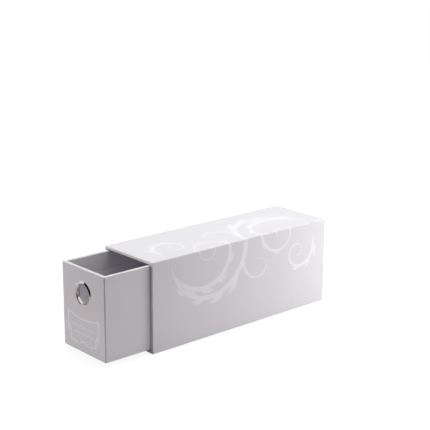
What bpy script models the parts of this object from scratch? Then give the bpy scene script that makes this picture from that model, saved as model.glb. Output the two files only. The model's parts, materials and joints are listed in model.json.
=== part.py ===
"""Card box with a drawer: a paper-covered board sleeve, closed at the back, and a board drawer with a finger ring.

Metres, +Z up. The origin is the centre of the sleeve's underside. The drawer pulls out towards -Y and is drawn
part of the way out. Every board, sheet of paper and strip of tape is an object of its own.
"""

import math

import bpy
from mathutils import Matrix, Vector

# Overall sizes of the sleeve
SLEEVE_WIDTH = 0.0850
SLEEVE_HEIGHT = 0.1050
SLEEVE_LENGTH = 0.2710

# Boards
SLEEVE_BOARD = 0.0020
DRAWER_BOARD = 0.0030
FLOOR_PLY = 0.0012
BOARD_GAP = 0.0003

# Papers, and the glue lines that keep them off the boards
COVER_PAPER = 0.00025
LINING_PAPER = 0.00025
GLUE_LINE = 0.0003
SEAM_GAP = 0.0003
STAY_PAPER = 0.0001
STAY_GAP = 0.0001
STAY_LEG = 0.0120
STAY_END_MARGIN = 0.0030

# Rounding of the boards under the paper
SLEEVE_CORNER_ROUND = 0.00045
DRAWER_CORNER_ROUND = 0.00080
RIM_ROUND = 0.00020
INNER_CORNER_ROUND = 0.00030

# How far the cover papers are turned over the edges
MOUTH_TURN_IN = 0.0200
BACK_TURN_OVER = 0.0120
DRAWER_TURN_IN = 0.0200
DRAWER_TURN_UNDER = 0.0120

# Room that the drawer has in the sleeve, and how far it is drawn out
SIDE_CLEARANCE = 0.00090
TOP_CLEARANCE = 0.00105
SLIDE_GAP = 0.00035
END_CLEARANCE = 0.00090
DRAWER_OPENING = 0.0605

# Finger ring: an eyelet pressed from thin sheet, with a short neck that is glued into the hole
RING_HOLE_RADIUS = 0.01140
RING_LIP_WIDTH = 0.00325
RING_LIP_HEIGHT = 0.00060
RING_SHEET = 0.00045
RING_NECK = 0.0022
RING_DROP = 0.0287
RING_FIT = 0.0003

# Counts, the angle past which an edge stays sharp, and the overrun of the cutter
CORNER_STEPS = 3
FOLD_STEPS = 4
ROUND_SEGMENTS = 2
RING_STEPS = 48
DOME_STEPS = 10
SHARP_DEGREES = 40
CUT_OVERRUN = 0.0020

# Layers of the walls
COVER_LAYER = COVER_PAPER + STAY_GAP + STAY_PAPER + STAY_GAP
LINING_LAYER = GLUE_LINE + LINING_PAPER
SLEEVE_WALL = COVER_LAYER + SLEEVE_BOARD + LINING_LAYER
DRAWER_WALL = COVER_LAYER + DRAWER_BOARD + LINING_LAYER
RIM_FOLD = COVER_LAYER + RIM_ROUND

# Places on the sleeve
HALF_WIDTH = SLEEVE_WIDTH / 2
MOUTH_Y = -SLEEVE_LENGTH / 2
BACK_Y = SLEEVE_LENGTH / 2
PLY_BOTTOM = COVER_LAYER + SLEEVE_BOARD + GLUE_LINE
PLY_TOP = PLY_BOTTOM + FLOOR_PLY
RUNNING_FLOOR = PLY_TOP + LINING_LAYER
LINING_FRONT = MOUTH_Y + MOUTH_TURN_IN + SEAM_GAP
CEILING = SLEEVE_HEIGHT - SLEEVE_WALL

# The drawer's outer size and the place of its front bottom edge
DRAWER_WIDTH = SLEEVE_WIDTH - 2 * (SLEEVE_WALL + SIDE_CLEARANCE)
DRAWER_BOTTOM = RUNNING_FLOOR + SLIDE_GAP
DRAWER_HEIGHT = CEILING - TOP_CLEARANCE - DRAWER_BOTTOM
DRAWER_LENGTH = SLEEVE_LENGTH - SLEEVE_WALL - END_CLEARANCE
DRAWER_FRONT = MOUTH_Y - DRAWER_OPENING

# Colour, roughness and metallic value of each material
FINISHES = {
    "white_cover_paper": ((0.80, 0.78, 0.80), 0.45, 0.0),
    "grey_lining_paper": ((0.84, 0.82, 0.87), 0.75, 0.0),
    "greyboard": ((0.56, 0.55, 0.52), 0.90, 0.0),
    "kraft_stay_paper": ((0.62, 0.48, 0.33), 0.80, 0.0),
    "nickel_plate": ((0.78, 0.71, 0.66), 0.12, 1.0),
}


def clear_scene():
    """Remove every object that the file holds."""
    for thing in list(bpy.data.objects):
        bpy.data.objects.remove(thing, do_unlink=True)


def new_collection(name):
    """Make a collection in the scene."""
    collection = bpy.data.collections.new(name)
    bpy.context.scene.collection.children.link(collection)
    return collection


def put_in(thing, collection, parent):
    """Move an object to one collection, and carry it on its body."""
    for holder in list(thing.users_collection):
        holder.objects.unlink(thing)
    collection.objects.link(thing)
    thing.parent = parent


def paint(thing, finish):
    """Give an object a material of its own with one of the finishes."""
    colour, roughness, metallic = FINISHES[finish]
    material = bpy.data.materials.new(thing.name + "_" + finish)
    material.use_nodes = True
    shader = material.node_tree.nodes["Principled BSDF"]
    shader.inputs["Base Color"].default_value = (*colour, 1.0)
    shader.inputs["Roughness"].default_value = roughness
    shader.inputs["Metallic"].default_value = metallic
    material.diffuse_color = (*colour, 1.0)
    thing.data.materials.append(material)


def finish_piece(thing, body, finish):
    """Place a finished piece in the box's collection, on its body and in its colour."""
    put_in(thing, parts, body)
    paint(thing, finish)
    return thing


def slab(name, low, high, body, finish):
    """A flat rectangular piece between its lowest and highest corner, its origin at its middle."""
    bpy.ops.mesh.primitive_cube_add(size=1)
    piece = bpy.context.object
    piece.name = name
    size = Vector(high) - Vector(low)
    piece.data.transform(Matrix.Diagonal((*size, 1)))
    piece.location = (Vector(low) + Vector(high)) / 2
    return finish_piece(piece, body, finish)


def round_edges(board, rounds):
    """Round some edges of a slab. Each is named by its side of the slab: (0, -1, 1) is the front top edge."""
    widest = max(rounds.values())
    half = [max(corner.co[axis] for corner in board.data.vertices) for axis in range(3)]
    weights = board.data.attributes.new("bevel_weight_edge", "FLOAT", "EDGE")
    for edge in board.data.edges:
        start, end = (board.data.vertices[index].co for index in edge.vertices)
        side = tuple(round((start[axis] + end[axis]) / 2 / half[axis]) for axis in range(3))
        weights.data[edge.index].value = rounds.get(side, 0) / widest
    bevel = board.modifiers.new("edges", "BEVEL")
    bevel.limit_method = "WEIGHT"
    bevel.width = widest
    bevel.segments = ROUND_SEGMENTS


def rounded_rectangle(half_width, half_height, radius):
    """Corners of a rounded rectangle about the origin, anticlockwise, each corner an arc."""
    points = []
    for quarter in range(4):
        sign_x = 1 if quarter in (0, 3) else -1
        sign_y = 1 if quarter in (0, 1) else -1
        for step in range(CORNER_STEPS + 1):
            angle = math.radians(90) * (quarter + step / CORNER_STEPS)
            x = sign_x * (half_width - radius) + radius * math.cos(angle)
            y = sign_y * (half_height - radius) + radius * math.sin(angle)
            points.append((x, y))
    return points


def quarter_arc(centre, radius, start_degrees, turn_degrees, steps):
    """Points of an arc, its start left out."""
    angles = [math.radians(start_degrees + turn_degrees * (step + 1) / steps) for step in range(steps)]
    return [(centre[0] + radius * math.cos(a), centre[1] + radius * math.sin(a)) for a in angles]


def skin(name, rows, closed, thickness, offset, body, finish):
    """A sheet through rows of points, each row as long as the next, made solid by its thickness."""
    count = len(rows[0])
    faces = []
    for row in range(len(rows) - 1):
        for index in range(count if closed else count - 1):
            a = row * count + index
            b = row * count + (index + 1) % count
            faces.append((a, b, b + count, a + count))
    mesh = bpy.data.meshes.new(name)
    mesh.from_pydata([point for row in rows for point in row], [], faces)
    mesh.shade_smooth()
    mesh.set_sharp_from_angle(angle=math.radians(SHARP_DEGREES))
    piece = bpy.data.objects.new(name, mesh)
    solid = piece.modifiers.new("paper", "SOLIDIFY")
    solid.thickness = thickness
    solid.offset = offset
    solid.use_even_offset = True
    return finish_piece(piece, body, finish)


def folded_rows(half_width, half_height, corner_round, section):
    """Rounded rectangles along Z, one for each (inset, height) of a cover paper's section."""
    rows = []
    for inset, height in section:
        radius = max(corner_round - inset, INNER_CORNER_ROUND)
        outline = rounded_rectangle(half_width - inset, half_height - inset, radius)
        rows.append([Vector((x, y, height)) for x, y in outline])
    return rows


def folded_section(start_height, rim_height, wall, turn_over, turn_in):
    """Section of a cover paper as (inset, height): turned over at the start, up the outside, in over the rim."""
    section = [(turn_over, start_height)]
    section += [(RIM_FOLD, start_height)]
    section += quarter_arc((RIM_FOLD, start_height + RIM_FOLD), RIM_FOLD, 270, -90, FOLD_STEPS)
    section += [(0, rim_height - RIM_FOLD)]
    section += quarter_arc((RIM_FOLD, rim_height - RIM_FOLD), RIM_FOLD, 180, -90, FOLD_STEPS)
    section += [(wall - RIM_FOLD, rim_height)]
    section += quarter_arc((wall - RIM_FOLD, rim_height - RIM_FOLD), RIM_FOLD, 90, -90, FOLD_STEPS)
    section += [(wall, rim_height - turn_in)]
    return section


def corner_stay(name, corner, inward, along, corner_round, body):
    """A strip of gummed paper bent round a corner of the boards, under the cover paper."""
    depth = COVER_PAPER + STAY_GAP
    radius = corner_round + STAY_PAPER + STAY_GAP
    path = [(depth + STAY_LEG, depth)]
    path += [(depth + radius, depth)]
    path += quarter_arc((depth + radius, depth + radius), radius, 270, -90, CORNER_STEPS)
    path += [(depth, depth + STAY_LEG)]
    first, second = inward
    rows = [[Vector(corner) + first * u + second * v + end for u, v in path] for end in along]
    faces_boards = first.cross(second).dot(along[1] - along[0]) > 0
    return skin(name, rows, False, STAY_PAPER, 1 if faces_boards else -1, body, "kraft_stay_paper")


def turned(name, profile, body, centre):
    """A ring turned from a profile of (radius, height), its height pointing out of the drawer's front."""
    edges = [(index, index + 1) for index in range(len(profile) - 1)]
    mesh = bpy.data.meshes.new(name)
    mesh.from_pydata([(radius, 0, height) for radius, height in profile], edges, [])
    ring = bpy.data.objects.new(name, mesh)
    ring.rotation_euler = (math.radians(90), 0, 0)
    ring.location = centre
    screw = ring.modifiers.new("turn", "SCREW")
    screw.steps = RING_STEPS
    screw.render_steps = RING_STEPS
    screw.use_smooth_shade = True
    return finish_piece(ring, body, "nickel_plate")


def build_sleeve_boards():
    """Top, floor, two sides, back, and the thinner ply on the floor that carries the drawer."""
    outer = HALF_WIDTH - COVER_LAYER
    inner = outer - SLEEVE_BOARD
    front = MOUTH_Y + COVER_LAYER
    back = BACK_Y - COVER_LAYER
    low = COVER_LAYER
    high = SLEEVE_HEIGHT - COVER_LAYER
    side_low = low + SLEEVE_BOARD + BOARD_GAP
    side_high = high - SLEEVE_BOARD - BOARD_GAP
    mouth_rounds = {(0, -1, 1): RIM_ROUND, (0, -1, -1): RIM_ROUND, (-1, -1, 0): RIM_ROUND, (1, -1, 0): RIM_ROUND}
    for name, bottom, top, up in (
        ("sleeve_top_board", high - SLEEVE_BOARD, high, 1),
        ("sleeve_floor_board", low, low + SLEEVE_BOARD, -1),
    ):
        board = slab(name, (-outer, front, bottom), (outer, back, top), None, "greyboard")
        corners = {(-1, 0, up): SLEEVE_CORNER_ROUND, (1, 0, up): SLEEVE_CORNER_ROUND, (0, 1, up): RIM_ROUND}
        round_edges(board, {**mouth_rounds, **corners})
    for name, side in (("sleeve_left_board", -1), ("sleeve_right_board", 1)):
        left, right = sorted((side * outer, side * inner))
        board = slab(name, (left, front, side_low), (right, back, side_high), None, "greyboard")
        round_edges(board, {(-1, -1, 0): RIM_ROUND, (1, -1, 0): RIM_ROUND, (side, 1, 0): RIM_ROUND})
    across = inner - BOARD_GAP
    slab(
        "sleeve_back_board",
        (-across, back - SLEEVE_BOARD, side_low),
        (across, back, side_high),
        None,
        "greyboard",
    )
    slab(
        "sleeve_floor_ply",
        (-across, LINING_FRONT, PLY_BOTTOM),
        (across, back - SLEEVE_BOARD - BOARD_GAP, PLY_TOP),
        None,
        "greyboard",
    )


def build_sleeve_papers():
    """Cover paper round the four sides, the sheet on the back, and the lining papers inside."""
    middle = SLEEVE_HEIGHT / 2
    lay_down = Matrix.Translation((0, 0, middle)) @ Matrix.Rotation(math.radians(90), 4, "X")
    section = folded_section(-BACK_Y, -MOUTH_Y, SLEEVE_WALL, BACK_TURN_OVER, MOUTH_TURN_IN)
    rows = folded_rows(HALF_WIDTH, middle, SLEEVE_CORNER_ROUND + COVER_LAYER, section)
    rows = [[lay_down @ point for point in row] for row in rows]
    skin("sleeve_wrap", rows, True, COVER_PAPER, -1, None, "white_cover_paper")

    inset = BACK_TURN_OVER + SEAM_GAP
    slab(
        "sleeve_back_sheet",
        (-HALF_WIDTH + inset, BACK_Y - COVER_PAPER, inset),
        (HALF_WIDTH - inset, BACK_Y, SLEEVE_HEIGHT - inset),
        None,
        "white_cover_paper",
    )

    half_room = HALF_WIDTH - SLEEVE_WALL
    half_rise = (CEILING - RUNNING_FLOOR) / 2
    lining_back = BACK_Y - COVER_LAYER - SLEEVE_BOARD - GLUE_LINE
    outline = rounded_rectangle(half_room, half_rise, INNER_CORNER_ROUND)
    raise_up = Vector((0, 0, RUNNING_FLOOR + half_rise))
    rows = [[Vector((x, y, z)) + raise_up for x, z in outline] for y in (LINING_FRONT, lining_back)]
    skin("sleeve_lining", rows, True, LINING_PAPER, 1, None, "grey_lining_paper")
    slab(
        "sleeve_back_lining",
        (-half_room + SEAM_GAP, lining_back - LINING_PAPER, RUNNING_FLOOR + SEAM_GAP),
        (half_room - SEAM_GAP, lining_back, CEILING - SEAM_GAP),
        None,
        "grey_lining_paper",
    )


def build_sleeve_stays():
    """Gummed paper along the sleeve's four long corners."""
    front = MOUTH_Y + COVER_LAYER + STAY_END_MARGIN
    back = BACK_Y - COVER_LAYER - STAY_END_MARGIN
    along = (Vector((0, front, 0)), Vector((0, back, 0)))
    for level, z, up in (("bottom", 0, 1), ("top", SLEEVE_HEIGHT, -1)):
        for hand, side in (("left", -1), ("right", 1)):
            inward = (Vector((-side, 0, 0)), Vector((0, 0, up)))
            corner = (side * HALF_WIDTH, 0, z)
            corner_stay(f"sleeve_corner_stay_{level}_{hand}", corner, inward, along, SLEEVE_CORNER_ROUND, None)


def build_drawer_boards(drawer):
    """Front, back, two sides and floor. Places are measured from the drawer's front bottom edge."""
    outer = DRAWER_WIDTH / 2 - COVER_LAYER
    inner = outer - DRAWER_BOARD
    near = COVER_LAYER
    far = DRAWER_LENGTH - COVER_LAYER
    low = COVER_LAYER
    high = DRAWER_HEIGHT - COVER_LAYER
    between = near + DRAWER_BOARD + BOARD_GAP
    beyond = far - DRAWER_BOARD - BOARD_GAP
    for name, start, out in (("drawer_front_board", near, -1), ("drawer_back_board", far - DRAWER_BOARD, 1)):
        board = slab(name, (-outer, start, low), (outer, start + DRAWER_BOARD, high), drawer, "greyboard")
        corners = {(-1, out, 0): DRAWER_CORNER_ROUND, (1, out, 0): DRAWER_CORNER_ROUND}
        tops = {(0, -1, 1): RIM_ROUND, (0, 1, 1): RIM_ROUND, (-1, 0, 1): RIM_ROUND, (1, 0, 1): RIM_ROUND}
        bottoms = {(0, out, -1): RIM_ROUND, (-1, 0, -1): RIM_ROUND, (1, 0, -1): RIM_ROUND}
        round_edges(board, {**corners, **tops, **bottoms})
    for name, side in (("drawer_left_board", -1), ("drawer_right_board", 1)):
        left, right = sorted((side * outer, side * inner))
        board = slab(name, (left, between, low), (right, beyond, high), drawer, "greyboard")
        round_edges(board, {(-1, 0, 1): RIM_ROUND, (1, 0, 1): RIM_ROUND, (side, 0, -1): RIM_ROUND})
    across = inner - BOARD_GAP
    slab(
        "drawer_floor_board",
        (-across, between, low),
        (across, beyond, low + DRAWER_BOARD),
        drawer,
        "greyboard",
    )


def build_drawer_papers(drawer):
    """Cover paper round the four walls, turned in over the rim, with the sheets and linings it meets."""
    half_width = DRAWER_WIDTH / 2
    half_length = DRAWER_LENGTH / 2
    section = folded_section(0, DRAWER_HEIGHT, DRAWER_WALL, DRAWER_TURN_UNDER, DRAWER_TURN_IN)
    rows = folded_rows(half_width, half_length, DRAWER_CORNER_ROUND + COVER_LAYER, section)
    rows = [[point + Vector((0, half_length, 0)) for point in row] for row in rows]
    skin("drawer_wrap", rows, True, COVER_PAPER, -1, drawer, "white_cover_paper")

    inset = DRAWER_TURN_UNDER + SEAM_GAP
    slab(
        "drawer_base_sheet",
        (-half_width + inset, inset, 0),
        (half_width - inset, DRAWER_LENGTH - inset, COVER_PAPER),
        drawer,
        "white_cover_paper",
    )

    floor_top = COVER_LAYER + DRAWER_BOARD
    half_room = half_width - DRAWER_WALL
    half_run = half_length - DRAWER_WALL
    outline = rounded_rectangle(half_room, half_run, INNER_CORNER_ROUND)
    lining_top = DRAWER_HEIGHT - DRAWER_TURN_IN - SEAM_GAP
    levels = (floor_top + GLUE_LINE, lining_top)
    rows = [[Vector((x, y + half_length, z)) for x, y in outline] for z in levels]
    skin("drawer_wall_lining", rows, True, LINING_PAPER, 1, drawer, "grey_lining_paper")
    slab(
        "drawer_floor_lining",
        (-half_room + SEAM_GAP, DRAWER_WALL + SEAM_GAP, floor_top + GLUE_LINE),
        (half_room - SEAM_GAP, DRAWER_LENGTH - DRAWER_WALL - SEAM_GAP, floor_top + LINING_LAYER),
        drawer,
        "grey_lining_paper",
    )


def build_drawer_stays(drawer):
    """Gummed paper down the drawer's four upright corners."""
    low = COVER_LAYER + STAY_END_MARGIN
    high = DRAWER_HEIGHT - COVER_LAYER - STAY_END_MARGIN
    along = (Vector((0, 0, low)), Vector((0, 0, high)))
    for end, y, inner_y in (("front", 0, 1), ("back", DRAWER_LENGTH, -1)):
        for hand, side in (("left", -1), ("right", 1)):
            inward = (Vector((-side, 0, 0)), Vector((0, inner_y, 0)))
            corner = (side * DRAWER_WIDTH / 2, y, 0)
            corner_stay(f"drawer_corner_stay_{end}_{hand}", corner, inward, along, DRAWER_CORNER_ROUND, drawer)


def build_finger_ring(drawer):
    """The eyelet in the drawer's front, and the hole for it through board and papers."""
    centre = Vector((0, 0, DRAWER_HEIGHT - RING_DROP))
    lip_middle = RING_HOLE_RADIUS + RING_LIP_WIDTH / 2

    profile = []
    for step in range(DOME_STEPS + 1):
        angle = math.pi * step / DOME_STEPS
        radius = lip_middle + RING_LIP_WIDTH / 2 * math.cos(angle)
        profile.append((radius, RING_FIT + RING_LIP_HEIGHT * math.sin(angle)))
    profile.append((RING_HOLE_RADIUS, -RING_NECK))
    eyelet = turned("finger_ring_eyelet", profile, drawer, centre)
    sheet = eyelet.modifiers.new("sheet", "SOLIDIFY")
    sheet.thickness = RING_SHEET
    sheet.offset = 1
    sheet.use_even_offset = True

    bpy.ops.mesh.primitive_cylinder_add(
        vertices=RING_STEPS,
        radius=RING_HOLE_RADIUS + RING_SHEET + RING_FIT,
        depth=DRAWER_WALL + 2 * CUT_OVERRUN,
        rotation=(math.radians(90), 0, 0),
    )
    cutter = bpy.context.object
    cutter.name = "finger_hole_cutter"
    cutter.location = centre + Vector((0, DRAWER_WALL / 2, 0))
    cutter.hide_render = True
    cutter.display_type = "WIRE"
    put_in(cutter, cutters, drawer)
    for name in ("drawer_front_board", "drawer_wrap", "drawer_wall_lining"):
        cut = bpy.data.objects[name].modifiers.new("finger_hole", "BOOLEAN")
        cut.operation = "DIFFERENCE"
        cut.object = cutter


clear_scene()
parts = new_collection("card_box_with_drawer")
cutters = new_collection("cutters")
build_sleeve_boards()
build_sleeve_papers()
build_sleeve_stays()

drawer_slide = bpy.data.objects.new("drawer_slide", None)
drawer_slide.empty_display_size = DRAWER_BOARD
drawer_slide.location = (0, DRAWER_FRONT, DRAWER_BOTTOM)
parts.objects.link(drawer_slide)
build_drawer_boards(drawer_slide)
build_drawer_papers(drawer_slide)
build_drawer_stays(drawer_slide)
build_finger_ring(drawer_slide)
bpy.context.view_layer.update()
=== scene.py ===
# %% [markdown]
# # A card box with a drawer, dressed for a photograph
# The box is a rigid sleeve of greyboard, wrapped in white laminated paper and closed at the back. A board
# drawer slides out of it and carries a nickel finger ring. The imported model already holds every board,
# sheet and strip of tape at its true size. This lesson gives them their finish: finer paper shells with
# folded rims, a spot gloss ornament and label printed on the paper, a polished ring, and soft studio light.

# %% Load the frame
import json
import math

import bmesh
import bpy
from mathutils import Matrix, Vector

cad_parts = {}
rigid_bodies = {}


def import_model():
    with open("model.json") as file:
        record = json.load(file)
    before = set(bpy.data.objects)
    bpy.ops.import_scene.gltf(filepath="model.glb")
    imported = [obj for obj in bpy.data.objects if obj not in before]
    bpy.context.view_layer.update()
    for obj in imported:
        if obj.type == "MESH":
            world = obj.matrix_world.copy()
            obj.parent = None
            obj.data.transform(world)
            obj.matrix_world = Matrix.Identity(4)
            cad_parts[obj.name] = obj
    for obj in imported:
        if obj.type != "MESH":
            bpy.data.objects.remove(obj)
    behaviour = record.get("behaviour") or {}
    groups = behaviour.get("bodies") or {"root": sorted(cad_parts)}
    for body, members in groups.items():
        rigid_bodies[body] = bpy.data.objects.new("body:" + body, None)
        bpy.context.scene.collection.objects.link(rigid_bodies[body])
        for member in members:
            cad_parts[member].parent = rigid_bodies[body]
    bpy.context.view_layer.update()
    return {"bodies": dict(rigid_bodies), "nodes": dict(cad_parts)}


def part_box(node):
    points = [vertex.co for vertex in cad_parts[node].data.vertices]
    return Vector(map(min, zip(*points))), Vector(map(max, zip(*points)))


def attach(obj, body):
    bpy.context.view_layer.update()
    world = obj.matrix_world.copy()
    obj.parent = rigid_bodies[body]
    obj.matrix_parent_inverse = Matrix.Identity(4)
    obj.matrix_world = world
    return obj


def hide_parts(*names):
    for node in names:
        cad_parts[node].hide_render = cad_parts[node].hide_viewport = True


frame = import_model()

bodies = sorted(frame["bodies"])
print("bodies:", bodies, "nodes:", len(frame["nodes"]))

# %% [markdown]
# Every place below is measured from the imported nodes, so the dressed pieces lie exactly where the solids
# are. Only the sizes that a node's box can't tell have a value of their own: the papers, the folds and the
# film of varnish. The paper is held back by the film's thickness, so that the varnish ends where the solid
# ends.

# %% Sizes
sleeve_low, sleeve_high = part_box("sleeve_wrap")
drawer_low, drawer_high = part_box("drawer_wrap")
lining_low, lining_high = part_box("sleeve_lining")
wall_lining_low, wall_lining_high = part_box("drawer_wall_lining")
ring_low, ring_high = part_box("finger_ring_eyelet")

PAPER = 0.00025
FILM = 0.00003
FOLD = 0.00075
SLEEVE_CORNER = 0.00100
DRAWER_CORNER = 0.00135
INNER_CORNER = 0.00030
SLEEVE_TURN_IN = 0.0200
SLEEVE_TURN_OVER = 0.0120
DRAWER_TURN_IN = 0.0200
DRAWER_TURN_UNDER = 0.0120

sleeve_wall = sleeve_high.x - lining_high.x + PAPER
drawer_wall = drawer_high.x - wall_lining_high.x + PAPER
print(f"sleeve wall {sleeve_wall * 1000:.2f} mm, drawer wall {drawer_wall * 1000:.2f} mm")

# %% [markdown]
# The camera stands where the photograph was taken: to the front right of the box and a little above it,
# with a long lens. Its place comes from matching the corners of the sleeve, the drawer and the ring with
# the picture. A camera looks along its own -Z, so its matrix is built from the direction of view and a
# slight roll.

# %% Camera
FRAME_PIXELS = 430
FOCAL_PIXELS = 1086.8
SENSOR_MM = 36.0
VIEW_AZIMUTH = math.radians(48.108)
VIEW_ELEVATION = math.radians(15.300)
VIEW_ROLL = math.radians(0.353)
CAMERA_PLACE = Vector((0.90843, -0.82277, 0.46044))


def camera_matrix(place, azimuth, elevation, roll):
    """Where a camera stands, turned to look along an azimuth and down by an elevation."""
    ahead = Vector((
        -math.sin(azimuth) * math.cos(elevation),
        math.cos(azimuth) * math.cos(elevation),
        -math.sin(elevation),
    ))
    level = Vector((math.cos(azimuth), math.sin(azimuth), 0.0))
    above = level.cross(ahead)
    right = level * math.cos(roll) + above * math.sin(roll)
    up = above * math.cos(roll) - level * math.sin(roll)
    turn = Matrix((right, up, -ahead)).transposed()
    return Matrix.Translation(place) @ turn.to_4x4()


camera_data = bpy.data.cameras.new("photo_camera")
camera_data.sensor_width = SENSOR_MM
camera_data.lens = FOCAL_PIXELS * SENSOR_MM / FRAME_PIXELS
camera = bpy.data.objects.new("photo_camera", camera_data)
camera.matrix_world = camera_matrix(CAMERA_PLACE, VIEW_AZIMUTH, VIEW_ELEVATION, VIEW_ROLL)
bpy.context.scene.collection.objects.link(camera)
bpy.context.scene.camera = camera
print(f"camera lens {camera_data.lens:.1f} mm")

# %% [markdown]
# Shader maths reads best as sums. A `Wire` stands for an output socket, and Python's operators on it add
# the Math nodes. A `Finish` is one material: its `node` method adds any other node from its type, its
# settings and its sockets, so a whole finish fits in a few lines.

# %% A small language for materials
class Wire:
    """A socket's value in a node tree, which the usual operators can work with."""

    def __init__(self, tree, socket):
        self.tree = tree
        self.socket = socket

    def maths(self, operation, first, second=None):
        """Add a Math node for numbers or other wires."""
        node = self.tree.nodes.new("ShaderNodeMath")
        node.operation = operation
        plug(self.tree, node.inputs[0], first)
        if second is not None:
            plug(self.tree, node.inputs[1], second)
        return Wire(self.tree, node.outputs[0])

    def __add__(self, other):
        return self.maths("ADD", self, other)

    def __radd__(self, other):
        return self.maths("ADD", other, self)

    def __sub__(self, other):
        return self.maths("SUBTRACT", self, other)

    def __rsub__(self, other):
        return self.maths("SUBTRACT", other, self)

    def __mul__(self, other):
        return self.maths("MULTIPLY", self, other)

    def __rmul__(self, other):
        return self.maths("MULTIPLY", other, self)

    def smaller(self, other):
        """The smaller of two values."""
        return self.maths("MINIMUM", self, other)


def plug(tree, socket, value):
    """Link a wire to a socket, or set the socket's own value."""
    if isinstance(value, Wire):
        tree.links.new(value.socket, socket)
    else:
        socket.default_value = value


def add_node(tree, kind, settings=None, sockets=None, output=0):
    """Add any node: settings first, a ramp's stops among them, then the values or links of its sockets."""
    node = tree.nodes.new(kind)
    for name, value in (settings or {}).items():
        if name == "stops":
            ramp = node.color_ramp
            for index, (place, shade) in enumerate(value):
                stop = ramp.elements[index] if index < 2 else ramp.elements.new(place)
                stop.position = place
                stop.color = (shade, shade, shade, 1.0)
        else:
            setattr(node, name, value)
    for name, value in (sockets or {}).items():
        plug(tree, node.inputs[name], value)
    return Wire(tree, node.outputs[output])


class Finish:
    """A material with one Principled shader, and the nodes that vary its sockets."""

    def __init__(self, name, **constants):
        self.material = bpy.data.materials.new(name)
        self.material.use_nodes = True
        self.tree = self.material.node_tree
        self.shader = self.tree.nodes["Principled BSDF"]
        for socket, value in constants.items():
            self.shader.inputs[socket.replace("_", " ")].default_value = value
        self.place = self.node("ShaderNodeTexCoord", output="Object")

    def node(self, kind, settings=None, sockets=None, output=0):
        """Add a node to this material."""
        return add_node(self.tree, kind, settings, sockets, output)

    def noise(self, per_metre, detail=2.0, roughness=0.5, place=None):
        """Noise from 0 to 1 with so many lumps to the metre."""
        sockets = {"Vector": place or self.place, "Scale": per_metre}
        sockets |= {"Detail": detail, "Roughness": roughness}
        return self.node("ShaderNodeTexNoise", None, sockets)

    def stretched(self, scale):
        """Object coordinates drawn out or squeezed along each axis."""
        return self.node("ShaderNodeMapping", None, {"Vector": self.place, "Scale": scale})

    def ramp(self, value, stops):
        """Map a value through a grey ramp."""
        return self.node("ShaderNodeValToRGB", {"stops": stops}, {"Fac": value})

    def mix(self, factor, first, second):
        """Blend two colours."""
        sockets = {0: factor, 6: first, 7: second}
        return self.node("ShaderNodeMix", {"data_type": "RGBA"}, sockets, 2)

    def attribute(self, name):
        """A number that the mesh carries at each of its points."""
        return self.node("ShaderNodeAttribute", {"attribute_name": name}, None, "Fac")

    def relief(self, *layers):
        """Bump from several (height, distance) layers, the last one on top."""
        normal = None
        for height, distance in layers:
            sockets = {"Height": height, "Distance": distance}
            if normal is not None:
                sockets["Normal"] = normal
            normal = self.node("ShaderNodeBump", None, sockets)
        self.set("Normal", normal)

    def set(self, socket, value):
        """Link or set one of the shader's sockets."""
        plug(self.tree, self.shader.inputs[socket], value)


print("material helpers ready")

# %% [markdown]
# The cover is art paper with a matt plastic laminate. Up close such a sheet is never one flat white: fibres
# cloud it a little, the laminate has a fine orange-peel grain, and the board under it is not dead flat.
# Where the paper is folded over an edge it is a touch lighter and rougher: the roughness and the scuffs are
# wear, and the lighter tone is partly a painted highlight.
# The meshes carry an attribute called `fold` that is 1 on the folds, which is steadier than guessing edges
# in the shader.

# %% White laminated cover paper
PAPER_WHITE = (0.795, 0.777, 0.796, 1.0)
PAPER_CLOUD = (0.775, 0.757, 0.777, 1.0)
# Lighter white for the folds: scuffed wear and painted highlight
PAPER_FOLD_WEAR_AND_HIGHLIGHT = (0.860, 0.845, 0.855, 1.0)

cover_finish = Finish("white_cover_paper", Specular_IOR_Level=0.30)
fibres = cover_finish.noise(900.0, 4.0, 0.65)
clouds = cover_finish.noise(22.0, 3.0)
grain = cover_finish.noise(2600.0, 2.0)
scuffs = cover_finish.noise(420.0, 3.0, 0.7)
fold_mask = cover_finish.attribute("fold")
tone = cover_finish.ramp(fibres * 0.45 + clouds * 0.55, [(0.40, 0.0), (0.62, 1.0)])
# Scuffs on the folds and corners lighten the paper: partly wear, partly a painted highlight on the rims
fold_wear_and_highlight = (fold_mask * cover_finish.ramp(scuffs, [(0.42, 0.0), (0.66, 1.0)])).smaller(1.0)
paper_colour = cover_finish.mix(tone * 0.5, PAPER_WHITE, PAPER_CLOUD)
cover_finish.set("Base Color", cover_finish.mix(fold_wear_and_highlight * 0.6, paper_colour, PAPER_FOLD_WEAR_AND_HIGHLIGHT))
cover_finish.set("Roughness", 0.40 + clouds * 0.06 + fold_wear_and_highlight * 0.14)
cover_finish.relief((clouds, 0.00015), (grain, 0.000008), (scuffs * fold_mask, 0.00002))
print("made", cover_finish.material.name)

# %% [markdown]
# The lining is a plain uncoated paper. It has no laminate, so it is rougher, and its fibres show as a fine
# mottle with short darker hairs. Noise that is drawn out along one axis makes the hairs.

# %% Grey lining paper
LINING_LIGHT = (0.855, 0.838, 0.886, 1.0)
LINING_DARK = (0.810, 0.793, 0.842, 1.0)

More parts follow.
